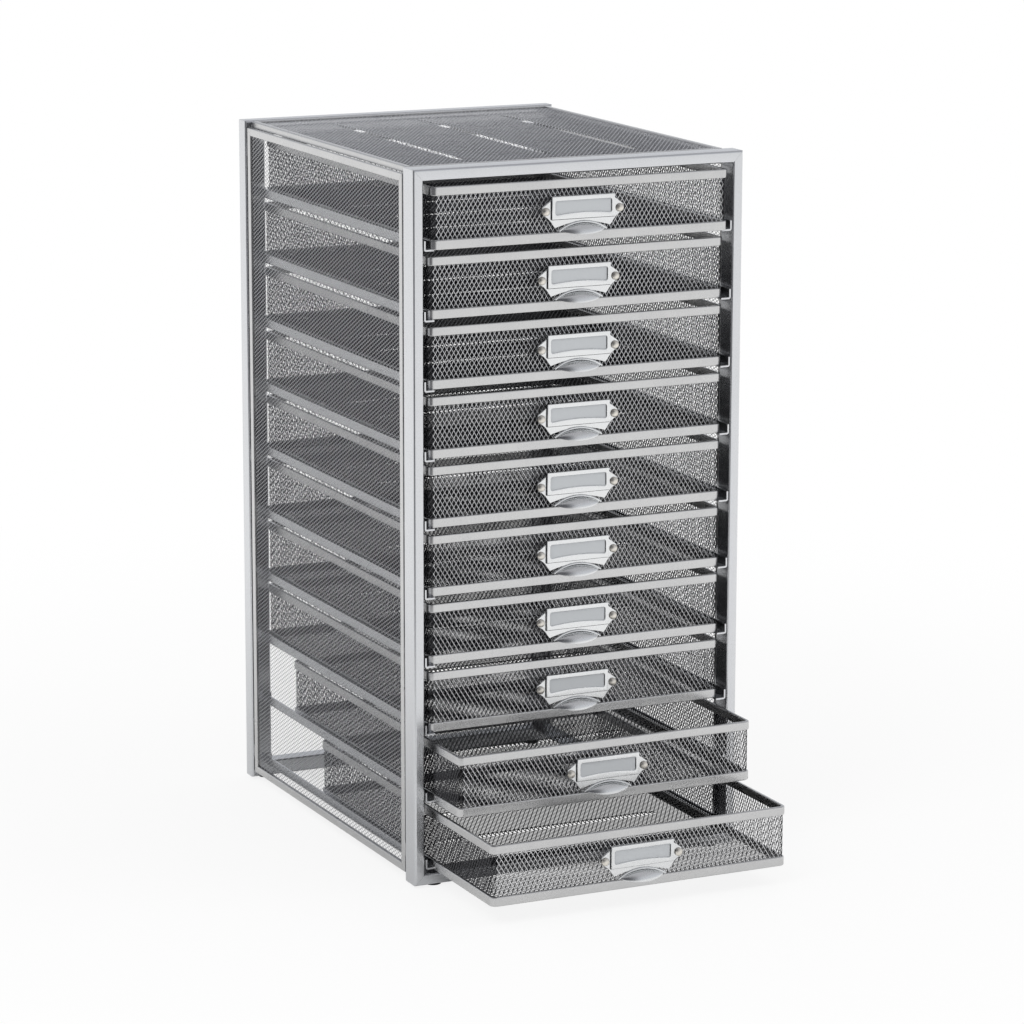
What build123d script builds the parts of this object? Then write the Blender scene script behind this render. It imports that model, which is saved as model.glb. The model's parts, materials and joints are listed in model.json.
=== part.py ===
from build123d import *
import os

# A desktop cabinet of mesh drawers, in millimetres. X runs to the right, Y from the front to the
# back and Z up. The origin is on the floor under the middle of the cabinet. Two upright frames of
# rectangular tube carry the side and top panels, and L-shaped runners between them carry the drawers.

# Clearances and sheet
SEAT_CLEARANCE = 0.1
SLIDING_CLEARANCE = 0.3
MESH_THICKNESS = 1.0

# Openings in the mesh, cut as a plain grid
GRID_BAR = 2.5
GRID_MARGIN = 2.0
DRAWER_GRID_COUNT = 12
WALL_GRID_ROWS = 2
TOP_GRID_COUNT = 10
TOP_GRID_ROWS = 12
SIDE_GRID_COUNT = 7
SIDE_GRID_ROWS = 12

# Drawers
DRAWER_COUNT = 10
DRAWER_WIDTH = 235.0
DRAWER_DEPTH = 308.0
DRAWER_HEIGHT = 44.5
DRAWER_CORNER_RADIUS = 4.75
DRAWER_GAP = 5.5
DRAWER_SIDE_GAP = 4.95
DRAWER_END_GAP = 3.9
DRAWER_FRONT_INSET = 3.5
TOP_DRAWER_OUT = 6.0
SECOND_LOWEST_DRAWER_OUT = 51.0
LOWEST_DRAWER_OUT = 106.0

# Drawer rims
RIM_THICKNESS = 2.6
TOP_RIM_HEIGHT = 6.5
TOP_RIM_CAP = 1.2
BOTTOM_RIM_HEIGHT = 7.0
BOTTOM_RIM_LIP = 1.1

# Front and rear frames
FRONT_POST_WIDTH = 7.9
FRONT_RAIL_HEIGHT = 8.5
FRONT_FRAME_DEPTH = 18.0
REAR_POST_WIDTH = 11.7
REAR_RAIL_HEIGHT = 12.0
REAR_FRAME_DEPTH = 13.3
TUBE_WALL = 1.0

# Runners
RUNNER_THICKNESS = 1.2
RUNNER_FLANGE_HEIGHT = 8.0
RUNNER_BEARING_WIDTH = 3.4
RUNNER_FRONT_INSET = 0.5
RUNNER_STOP_HEIGHT = 6.0
RUNNER_STOP_GAP = 1.8

# Side panels
SIDE_EDGING_WIDTH = 5.8
SIDE_EDGING_THICKNESS = 3.0
SIDE_INSET = 1.0
SIDE_FRONT_GAP = 3.4
SIDE_REAR_GAP = 2.2
SIDE_END_GAP = 5.0

# Top panel
TOP_EDGING_WIDTH = 3.0
TOP_EDGING_THICKNESS = 3.0
TOP_SIDE_INSET = 6.0
TOP_DROP = 0.3
TOP_FRONT_GAP = 3.2
TOP_REAR_GAP = 2.2
TOP_BEAD_COUNT = 3
TOP_BEAD_SPACING = 70.0
TOP_BEAD_WIDTH = 6.0
TOP_BEAD_RISE = 0.8
TOP_BEAD_END_GAP = 30.0

# Tabs that join the panels to the frames
TAB_LENGTH = 10.0
TAB_THICKNESS = 1.5
TAB_END_GAP = 12.0

# Feet
FOOT_RADIUS = 6.0
FOOT_HEIGHT = 2.0
FRONT_FOOT_INSET = 18.0
REAR_FOOT_INSET = 14.0

# Drawer pulls, with heights above the drawer's underside
PULL_THICKNESS = 1.2
CARD_FRAME_WIDTH = 49.7
CARD_FRAME_HEIGHT = 16.3
CARD_FRAME_BOTTOM = 14.3
CARD_FRAME_SHOULDER = 2.6
CARD_FRAME_BORDER = 2.9
CARD_FRAME_RISE = 1.7
CARD_THICKNESS = 0.4
EAR_TIP_OVERHANG = 6.95
EAR_TIP_HEIGHT = 23.0
EAR_FOOT_OVERHANG = 6.35
EAR_FOOT_HEIGHT = 17.4
EAR_WAIST_OVERHANG = 0.75
EAR_WAIST_HEIGHT = 13.4
SKIRT_TIP_INSET = 2.95
SKIRT_TIP_HEIGHT = 8.0
SKIRT_CROWN_HEIGHT = 11.0
CUP_WIDTH = 35.0
CUP_HEIGHT = 9.0
CUP_BOTTOM = 4.0

# Rivets
RIVET_FRAME_GAP = 1.35
RIVET_HEIGHT = 20.0
RIVET_HEAD_RADIUS = 3.0
RIVET_HEAD_RISE = 2.2
RIVET_SHANK_RADIUS = 1.5
RIVET_TAIL_RADIUS = 2.4
RIVET_TAIL_THICKNESS = 0.8

# Sizes that follow from the driving dimensions
drawer_pitch = DRAWER_HEIGHT + DRAWER_GAP
opening_width = DRAWER_WIDTH + 2 * DRAWER_SIDE_GAP
opening_height = DRAWER_COUNT * drawer_pitch - DRAWER_GAP + 2 * DRAWER_END_GAP
cabinet_width = opening_width + 2 * FRONT_POST_WIDTH
frame_height = opening_height + 2 * FRONT_RAIL_HEIGHT
runner_rear = DRAWER_FRONT_INSET + DRAWER_DEPTH + RUNNER_STOP_GAP + RUNNER_THICKNESS
cabinet_depth = runner_rear + REAR_FRAME_DEPTH
front_y = -cabinet_depth / 2
rear_frame_y = front_y + runner_rear
frame_bottom = FOOT_HEIGHT
frame_top = frame_bottom + frame_height
frame_middle = (frame_bottom + frame_top) / 2
mesh_inset = (RIM_THICKNESS - MESH_THICKNESS) / 2
mesh_face_y = front_y + DRAWER_FRONT_INSET + mesh_inset
plate_face_y = mesh_face_y - PULL_THICKNESS
cup_back_y = front_y + DRAWER_FRONT_INSET - SEAT_CLEARANCE
half_card_frame = CARD_FRAME_WIDTH / 2
half_pull = half_card_frame + EAR_TIP_OVERHANG
rivet_reach = half_card_frame + RIVET_FRAME_GAP + RIVET_HEAD_RADIUS
drawn_out = {1: TOP_DRAWER_OUT, DRAWER_COUNT - 1: SECOND_LOWEST_DRAWER_OUT, DRAWER_COUNT: LOWEST_DRAWER_OUT}


def drawer_bottom(number):
    """Return the height of a drawer's underside; number 1 is the top drawer."""
    lowest = frame_bottom + FRONT_RAIL_HEIGHT + DRAWER_END_GAP
    return lowest + (DRAWER_COUNT - number) * drawer_pitch


def box_between(low, high):
    """Return the box that spans two opposite corners."""
    size = [b - a for a, b in zip(low, high)]
    middle = [(a + b) / 2 for a, b in zip(low, high)]
    return Pos(*middle) * Box(*size)


def grid_cells(width, height, count, rows):
    """Return cutters for a grid of openings in a sheet in the XY plane, less a margin all round."""
    pitch_x = (width - 2 * GRID_MARGIN + GRID_BAR) / count
    pitch_y = (height - 2 * GRID_MARGIN + GRID_BAR) / rows
    cell = Box(pitch_x - GRID_BAR, pitch_y - GRID_BAR, 2 * MESH_THICKNESS)
    return [place * cell for place in GridLocations(pitch_x, pitch_y, count, rows)]


def mitred_bars(width, height, thickness, post, rail):
    """Return four flat bars round a rectangle in the XZ plane, mitred at its corners."""
    bars = []
    signs = [(-1, -1), (1, -1), (1, 1), (-1, 1)]
    outer = [(x * width / 2, z * height / 2) for x, z in signs]
    inner = [(x * (width / 2 - post), z * (height / 2 - rail)) for x, z in signs]
    for start, end in zip(range(4), (1, 2, 3, 0)):
        outline = Plane.XZ * Polygon(outer[start], outer[end], inner[end], inner[start], align=None)
        bars.append(extrude(outline, thickness / 2, both=True))
    return bars


def tube_frame(post, rail, depth, middle_y):
    """Return the four mitred tubes of an upright frame."""
    core = Box(cabinet_width - 2 * TUBE_WALL, depth - 2 * TUBE_WALL, frame_height - 2 * TUBE_WALL)
    window_width = cabinet_width - 2 * (post - TUBE_WALL)
    window_height = frame_height - 2 * (rail - TUBE_WALL)
    core -= Box(window_width, depth, window_height)
    place = Pos(0, middle_y, frame_middle)
    return [place * (bar - core) for bar in mitred_bars(cabinet_width, frame_height, depth, post, rail)]


def front_frame():
    """Return the tubes round the drawer fronts."""
    middle_y = front_y + FRONT_FRAME_DEPTH / 2
    return tube_frame(FRONT_POST_WIDTH, FRONT_RAIL_HEIGHT, FRONT_FRAME_DEPTH, middle_y)


def rear_frame():
    """Return the tubes round the open back."""
    middle_y = rear_frame_y + REAR_FRAME_DEPTH / 2
    return tube_frame(REAR_POST_WIDTH, REAR_RAIL_HEIGHT, REAR_FRAME_DEPTH, middle_y)


def panel(length, height, band, thickness, front_gap, rear_gap, count, rows):
    """Return a panel in the XZ plane: its mesh sheet and four channels, tabbed at both X ends."""
    wall = thickness / 2 - MESH_THICKNESS / 2 - SEAT_CLEARANCE
    slot = Box(length - 2 * wall, MESH_THICKNESS + 2 * SEAT_CLEARANCE, height - 2 * wall)
    lower, rear, upper, front = [bar - slot for bar in mitred_bars(length, height, thickness, band, band)]
    end = length / 2
    for z in tab_places(height):
        low_z = z - TAB_LENGTH / 2
        high_z = z + TAB_LENGTH / 2
        half = TAB_THICKNESS / 2
        front += box_between((-end - front_gap, -half, low_z), (wall - end, half, high_z))
        rear += box_between((end - wall, -half, low_z), (end + rear_gap, half, high_z))
    sheet_inset = 2 * (wall + SEAT_CLEARANCE)
    sheet = Box(length - sheet_inset, MESH_THICKNESS, height - sheet_inset)
    cells = grid_cells(length - 2 * band, height - 2 * band, count, rows)
    sheet -= [Plane.XZ * cell for cell in cells]
    return sheet, [lower, rear, upper, front]


def tab_places(length):
    """Return where three tabs sit along an edge: near both ends and in the middle."""
    reach = length / 2 - TAB_END_GAP - TAB_LENGTH / 2
    return [-reach, 0, reach]


def side_panel(side):
    """Return a side panel's mesh and channels; side is -1 on the left and 1 on the right."""
    first_y = front_y + FRONT_FRAME_DEPTH + SIDE_FRONT_GAP
    last_y = rear_frame_y - SIDE_REAR_GAP
    height = frame_height - 2 * SIDE_END_GAP
    size = (last_y - first_y, height, SIDE_EDGING_WIDTH, SIDE_EDGING_THICKNESS)
    sheet, channels = panel(*size, SIDE_FRONT_GAP, SIDE_REAR_GAP, SIDE_GRID_COUNT, SIDE_GRID_ROWS)
    middle_x = side * (cabinet_width / 2 - SIDE_INSET - SIDE_EDGING_THICKNESS / 2)
    middle = (middle_x, (first_y + last_y) / 2, frame_middle)
    place = Plane(origin=middle, x_dir=(0, 1, 0), z_dir=(0, 0, 1)).location
    return place * sheet, [place * channel for channel in channels]


def top_panel():
    """Return the top panel's mesh, with its raised beads, and its channels."""
    first_y = front_y + FRONT_FRAME_DEPTH + TOP_FRONT_GAP
    last_y = rear_frame_y - TOP_REAR_GAP
    depth = last_y - first_y
    width = cabinet_width - 2 * TOP_SIDE_INSET
    size = (depth, width, TOP_EDGING_WIDTH, TOP_EDGING_THICKNESS)
    sheet, channels = panel(*size, TOP_FRONT_GAP, TOP_REAR_GAP, TOP_GRID_ROWS, TOP_GRID_COUNT)
    middle = (0, (first_y + last_y) / 2, frame_top - TOP_DROP - TOP_EDGING_THICKNESS / 2)
    place = Plane(origin=middle, x_dir=(0, 1, 0), z_dir=(1, 0, 0)).location
    sheet = place * sheet
    for index in range(TOP_BEAD_COUNT):
        x = (index - (TOP_BEAD_COUNT - 1) / 2) * TOP_BEAD_SPACING
        slot = SlotOverall(depth - 2 * TOP_BEAD_END_GAP, TOP_BEAD_WIDTH, rotation=90)
        bead = extrude(slot, MESH_THICKNESS + TOP_BEAD_RISE)
        sheet += Pos(*middle) * Pos(x, 0, -MESH_THICKNESS / 2) * bead
    return sheet, [place * channel for channel in channels]


def runner(side, number):
    """Return one L-shaped runner with the stop at its rear end; side is -1 or 1."""
    flange_x = opening_width / 2
    leg_x = DRAWER_WIDTH / 2 - RUNNER_BEARING_WIDTH
    leg_top = drawer_bottom(number) - SLIDING_CLEARANCE
    leg_bottom = leg_top - RUNNER_THICKNESS
    start_y = front_y + RUNNER_FRONT_INSET
    stop_y = rear_frame_y - RUNNER_THICKNESS
    leg = box_between((leg_x, start_y, leg_bottom), (flange_x, rear_frame_y, leg_top))
    inner_x = flange_x - RUNNER_THICKNESS
    flange_top = leg_bottom + RUNNER_FLANGE_HEIGHT
    flange = box_between((inner_x, start_y, leg_bottom), (flange_x, rear_frame_y, flange_top))
    stop = box_between((leg_x, stop_y, leg_bottom), (flange_x, rear_frame_y, leg_top + RUNNER_STOP_HEIGHT))
    rail = leg + flange + stop
    return rail if side > 0 else rail.mirror(Plane.YZ)


def runners():
    """Return the pair of runners under every drawer."""
    return [runner(side, number) for number in range(1, DRAWER_COUNT + 1) for side in (-1, 1)]


def rubber_feet():
    """Return the four round feet under the frames' corners."""
    front_pair = (FRONT_FOOT_INSET, front_y + FRONT_FRAME_DEPTH / 2)
    rear_pair = (REAR_FOOT_INSET, rear_frame_y + REAR_FRAME_DEPTH / 2)
    feet = []
    for inset, y in (front_pair, rear_pair):
        for side in (-1, 1):
            x = side * (cabinet_width / 2 - inset)
            feet.append(Pos(x, y, FOOT_HEIGHT / 2) * Cylinder(FOOT_RADIUS, FOOT_HEIGHT))
    return feet


def tray(inset, height):
    """Return a filled drawer shape on Z = 0, a given distance inside the drawer's outline."""
    size = (DRAWER_WIDTH - 2 * inset, DRAWER_DEPTH - 2 * inset)
    outline = RectangleRounded(*size, DRAWER_CORNER_RADIUS - inset)
    return extrude(outline, height)


def rivet_places():
    """Return the X of each rivet of a pull."""
    return [-rivet_reach, rivet_reach]


def rivet_hole(x):
    """Return the hole that a rivet's shank passes through, in a closed drawer of underside Z = 0."""
    reach = PULL_THICKNESS + RIM_THICKNESS
    hole = Rot(90, 0, 0) * Cylinder(RIVET_SHANK_RADIUS + SEAT_CLEARANCE, 2 * reach)
    return Pos(x, mesh_face_y, RIVET_HEIGHT) * hole


def basket():
    """Return the folded mesh tray of a closed drawer whose underside is at Z = 0."""
    middle_y = front_y + DRAWER_FRONT_INSET + DRAWER_DEPTH / 2
    wall_top = DRAWER_HEIGHT - TOP_RIM_CAP - SEAT_CLEARANCE
    floor_bottom = BOTTOM_RIM_LIP
    floor_top = floor_bottom + MESH_THICKNESS
    outside = Pos(0, 0, floor_bottom) * tray(mesh_inset, wall_top - floor_bottom)
    inside = Pos(0, 0, floor_top) * tray(mesh_inset + MESH_THICKNESS, DRAWER_HEIGHT)
    shell = Pos(0, middle_y, 0) * (outside - inside - basket_openings())
    for x in rivet_places():
        shell -= rivet_hole(x)
    return shell


def basket_openings():
    """Return cutters for the grid in a basket's floor and walls, about the middle of its underside."""
    half_width = DRAWER_WIDTH / 2 - mesh_inset - MESH_THICKNESS / 2
    half_depth = DRAWER_DEPTH / 2 - mesh_inset - MESH_THICKNESS / 2
    floor_size = (2 * half_width - MESH_THICKNESS, 2 * half_depth - MESH_THICKNESS)
    floor_cells = grid_cells(*floor_size, DRAWER_GRID_COUNT, DRAWER_GRID_COUNT)
    middle_z = (BOTTOM_RIM_HEIGHT + DRAWER_HEIGHT - TOP_RIM_HEIGHT) / 2
    wall_height = DRAWER_HEIGHT - TOP_RIM_HEIGHT - BOTTOM_RIM_HEIGHT
    end_width = DRAWER_WIDTH - 2 * DRAWER_CORNER_RADIUS
    side_width = DRAWER_DEPTH - 2 * DRAWER_CORNER_RADIUS
    end_cells = grid_cells(end_width, wall_height, DRAWER_GRID_COUNT, WALL_GRID_ROWS)
    side_cells = grid_cells(side_width, wall_height, DRAWER_GRID_COUNT, WALL_GRID_ROWS)
    beside_pull = [cell for cell in end_cells if cell.bounding_box().min.X > half_pull]
    beside_pull += [cell for cell in end_cells if cell.bounding_box().max.X < -half_pull]
    rear = Pos(0, half_depth, middle_z) * Rot(90, 0, 0)
    front = Pos(0, -half_depth, middle_z) * Rot(90, 0, 0)
    floor_middle_z = BOTTOM_RIM_LIP + MESH_THICKNESS / 2
    cutters = [Pos(0, 0, floor_middle_z) * cell for cell in floor_cells]
    cutters += [rear * cell for cell in end_cells]
    cutters += [front * cell for cell in beside_pull]
    for x in (-half_width, half_width):
        side = Plane(origin=(x, 0, middle_z), x_dir=(0, 1, 0), z_dir=(1, 0, 0)).location
        cutters += [side * cell for cell in side_cells]
    return cutters


def rims():
    """Return the top and the bottom rim of a closed drawer whose underside is at Z = 0."""
    middle_y = front_y + DRAWER_FRONT_INSET + DRAWER_DEPTH / 2
    slot_inner = mesh_inset + MESH_THICKNESS + SEAT_CLEARANCE
    slot_outer = mesh_inset - SEAT_CLEARANCE
    slot = tray(slot_outer, TOP_RIM_HEIGHT - TOP_RIM_CAP) - tray(slot_inner, TOP_RIM_HEIGHT)
    top = tray(0, TOP_RIM_HEIGHT) - tray(RIM_THICKNESS, TOP_RIM_HEIGHT) - slot
    bottom = tray(0, BOTTOM_RIM_HEIGHT) - tray(RIM_THICKNESS, BOTTOM_RIM_HEIGHT)
    bottom -= Pos(0, 0, BOTTOM_RIM_LIP) * tray(slot_outer, BOTTOM_RIM_HEIGHT)
    top_z = DRAWER_HEIGHT - TOP_RIM_HEIGHT
    return [Pos(0, middle_y, top_z) * top, Pos(0, middle_y, 0) * bottom]


def card_window(clearance):
    """Return the outline of the card frame's window, shrunk by a clearance."""
    width = CARD_FRAME_WIDTH - 2 * CARD_FRAME_BORDER - 2 * clearance
    height = CARD_FRAME_HEIGHT - 2 * CARD_FRAME_BORDER - 2 * clearance
    return Rectangle(width, height)


def card_place():
    """Return the plane on the plate's face at the middle of the card frame, facing forwards."""
    middle = (0, plate_face_y, CARD_FRAME_BOTTOM + CARD_FRAME_HEIGHT / 2)
    return Plane(origin=middle, x_dir=(1, 0, 0), z_dir=(0, -1, 0))


def pull_plate():
    """Return the pull's flat plate, with its pointed ears and its arched lower edge."""
    frame_top_z = CARD_FRAME_BOTTOM + CARD_FRAME_HEIGHT
    shoulder_z = frame_top_z - CARD_FRAME_SHOULDER
    ear_foot = (half_card_frame + EAR_FOOT_OVERHANG, EAR_FOOT_HEIGHT)
    right = Polyline(
        (half_card_frame, frame_top_z),
        (half_card_frame, shoulder_z),
        (half_card_frame + EAR_TIP_OVERHANG, EAR_TIP_HEIGHT),
        ear_foot,
    )
    skirt_tip = (half_card_frame - SKIRT_TIP_INSET, SKIRT_TIP_HEIGHT)
    waist = (half_card_frame + EAR_WAIST_OVERHANG, EAR_WAIST_HEIGHT)
    sweep_in = ThreePointArc(ear_foot, waist, skirt_tip)
    left_side = [edge.mirror(Plane.YZ) for edge in [*right.edges(), sweep_in]]
    arch = ThreePointArc(skirt_tip, (0, SKIRT_CROWN_HEIGHT), (-skirt_tip[0], SKIRT_TIP_HEIGHT))
    head = Line((-half_card_frame, frame_top_z), (half_card_frame, frame_top_z))
    outline = make_face([*right.edges(), sweep_in, arch, head, *left_side])
    plate_plane = Plane(origin=(0, mesh_face_y, 0), x_dir=(1, 0, 0), z_dir=(0, -1, 0))
    return extrude(plate_plane * outline, PULL_THICKNESS)


def spindle_quarter(half_width, rise):
    """Return a quarter turn of an arched face swung forwards about its chord."""
    arc = ThreePointArc((-half_width, 0), (0, rise), (half_width, 0))
    chord = Line((half_width, 0), (-half_width, 0))
    face = Plane.XZ * make_face([arc, chord])
    return revolve(face, Axis.X, revolution_arc=90)


def pull():
    """Return the stamped pull of a closed drawer whose underside is at Z = 0."""
    body = pull_plate()
    border = Rectangle(CARD_FRAME_WIDTH, CARD_FRAME_HEIGHT) - card_window(0)
    body += extrude(card_place() * border, CARD_FRAME_RISE)
    outer = spindle_quarter(CUP_WIDTH / 2, CUP_HEIGHT)
    inner = spindle_quarter(CUP_WIDTH / 2 - PULL_THICKNESS, CUP_HEIGHT - PULL_THICKNESS)
    body += Pos(0, cup_back_y, CUP_BOTTOM) * (outer - inner)
    for x in rivet_places():
        body -= rivet_hole(x)
    return body


def card():
    """Return the blank card behind the card frame of a closed drawer."""
    return extrude(card_place() * card_window(SEAT_CLEARANCE), CARD_THICKNESS)


def rivets():
    """Return the two domed rivets that hold a pull on a closed drawer."""
    grip = PULL_THICKNESS + MESH_THICKNESS
    crown = (0, grip + RIVET_HEAD_RISE)
    dome = ThreePointArc(crown, *dome_points(grip))
    outline = Polyline(
        (RIVET_HEAD_RADIUS, grip),
        (RIVET_SHANK_RADIUS, grip),
        (RIVET_SHANK_RADIUS, 0),
        (RIVET_TAIL_RADIUS, 0),
        (RIVET_TAIL_RADIUS, -RIVET_TAIL_THICKNESS),
        (0, -RIVET_TAIL_THICKNESS),
        crown,
    )
    rivet = revolve(Plane.XZ * make_face([dome, *outline.edges()]), Axis.Z)
    wall_inner_y = mesh_face_y + MESH_THICKNESS
    return [Pos(x, wall_inner_y, RIVET_HEIGHT) * Rot(90, 0, 0) * rivet for x in rivet_places()]


def dome_points(base):
    """Return a middle and an end point of the arc over a rivet's head, which starts at its crown."""
    radius = (RIVET_HEAD_RADIUS**2 + RIVET_HEAD_RISE**2) / (2 * RIVET_HEAD_RISE)
    middle_r = RIVET_HEAD_RADIUS / 2
    middle_z = base + RIVET_HEAD_RISE - radius + (radius**2 - middle_r**2) ** 0.5
    return (middle_r, middle_z), (RIVET_HEAD_RADIUS, base)


def save(name, solids):
    """Write one sub-part, a solid or a list of solids, to its own file."""
    pieces = solids if isinstance(solids, list) else [solids]
    export_step(Compound(children=[Part(piece.wrapped) for piece in pieces]), f"parts/{name}.step")


def cabinet_nodes():
    """Return the cabinet's sub-parts by name."""
    left_mesh, left_edging = side_panel(-1)
    right_mesh, right_edging = side_panel(1)
    top_mesh, top_edging = top_panel()
    return {
        "front_frame": front_frame(),
        "rear_frame": rear_frame(),
        "left_side_mesh": left_mesh,
        "left_side_edging": left_edging,
        "right_side_mesh": right_mesh,
        "right_side_edging": right_edging,
        "top_mesh": top_mesh,
        "top_edging": top_edging,
        "runners": runners(),
        "rubber_feet": rubber_feet(),
    }


def drawer_nodes(number, pieces):
    """Return one drawer's sub-parts by name, lifted to its level and drawn out as it stands."""
    place = Pos(0, -drawn_out.get(number, 0), drawer_bottom(number))
    names = {f"drawer_{number:02d}_{name}": solids for name, solids in pieces.items()}
    return {name: [place * solid for solid in solids] for name, solids in names.items()}


def main():
    """Build every sub-part and write it to its own file."""
    os.makedirs("parts", exist_ok=True)
    for name, solids in cabinet_nodes().items():
        save(name, solids)
    pieces = {"basket": [basket()], "rims": rims(), "pull": [pull()], "rivets": rivets(), "card": [card()]}
    for number in range(1, DRAWER_COUNT + 1):
        for name, solids in drawer_nodes(number, pieces).items():
            save(name, solids)


main()
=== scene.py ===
"""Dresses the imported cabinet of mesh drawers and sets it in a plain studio."""

import json
import logging
import math
from dataclasses import dataclass, field
from enum import Enum
from typing import Iterable, Optional, Sequence, Union

import bmesh
import bpy
from mathutils import Matrix, Vector

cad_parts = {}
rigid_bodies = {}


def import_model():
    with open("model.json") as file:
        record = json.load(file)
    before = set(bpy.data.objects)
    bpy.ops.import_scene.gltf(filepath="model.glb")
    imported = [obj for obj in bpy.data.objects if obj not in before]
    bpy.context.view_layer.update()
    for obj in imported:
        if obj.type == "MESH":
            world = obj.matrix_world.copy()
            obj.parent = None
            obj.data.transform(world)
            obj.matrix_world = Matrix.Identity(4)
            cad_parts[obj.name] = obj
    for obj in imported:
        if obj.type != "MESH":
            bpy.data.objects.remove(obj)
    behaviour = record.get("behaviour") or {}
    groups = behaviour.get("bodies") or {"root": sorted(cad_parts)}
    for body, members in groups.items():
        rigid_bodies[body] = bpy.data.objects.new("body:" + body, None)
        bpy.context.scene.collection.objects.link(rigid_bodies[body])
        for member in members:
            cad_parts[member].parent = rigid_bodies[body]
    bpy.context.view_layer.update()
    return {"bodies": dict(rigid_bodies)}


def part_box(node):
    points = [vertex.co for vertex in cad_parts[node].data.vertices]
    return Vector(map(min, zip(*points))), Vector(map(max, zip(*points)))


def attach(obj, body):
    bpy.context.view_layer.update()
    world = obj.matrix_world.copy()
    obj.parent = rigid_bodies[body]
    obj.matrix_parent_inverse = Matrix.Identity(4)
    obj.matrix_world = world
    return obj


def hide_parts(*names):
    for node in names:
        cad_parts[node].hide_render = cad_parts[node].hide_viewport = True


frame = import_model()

log = logging.getLogger("cabinet")
MM = 0.001
SMOOTH_ANGLE = math.radians(38)
WELD_GAP = 0.01 * MM
DRAWER_COUNT = sum(1 for body in frame["bodies"] if body.startswith("drawer_"))
Socket = bpy.types.NodeSocket
Number = Union[float, Socket, "Value"]
Colour = Union[tuple, Socket]


# Shader maths


class Value:
    """A number socket that turns Python operators into Math nodes."""

    def __init__(self, shader: "Shader", socket: Socket) -> None:
        """Wrap a socket.

        Args:
            shader: The node tree that the socket belongs to.
            socket: The output socket to wrap.
        """
        self.shader = shader
        self.socket = socket

    def apply(self, operation: str, other: Number) -> "Value":
        """Add one Math node.

        Args:
            operation: The node's operation.
            other: The second operand.

        Returns:
            The node's result.
        """
        node = self.shader.node("Math", {0: self, 1: other}, operation=operation)
        return Value(self.shader, node.outputs[0])

    def __add__(self, other: Number) -> "Value":
        """Add."""
        return self.apply("ADD", other)

    def __mul__(self, other: Number) -> "Value":
        """Multiply."""
        return self.apply("MULTIPLY", other)

    def highest(self, other: Number) -> "Value":
        """Return the larger of two values."""
        return self.apply("MAXIMUM", other)

    def below(self, limit: Number) -> "Value":
        """Return 1 where the value is under a limit, else 0."""
        return self.apply("LESS_THAN", limit)

    def size(self) -> "Value":
        """Return the value without its sign."""
        return self.apply("ABSOLUTE", 0.0)


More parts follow.
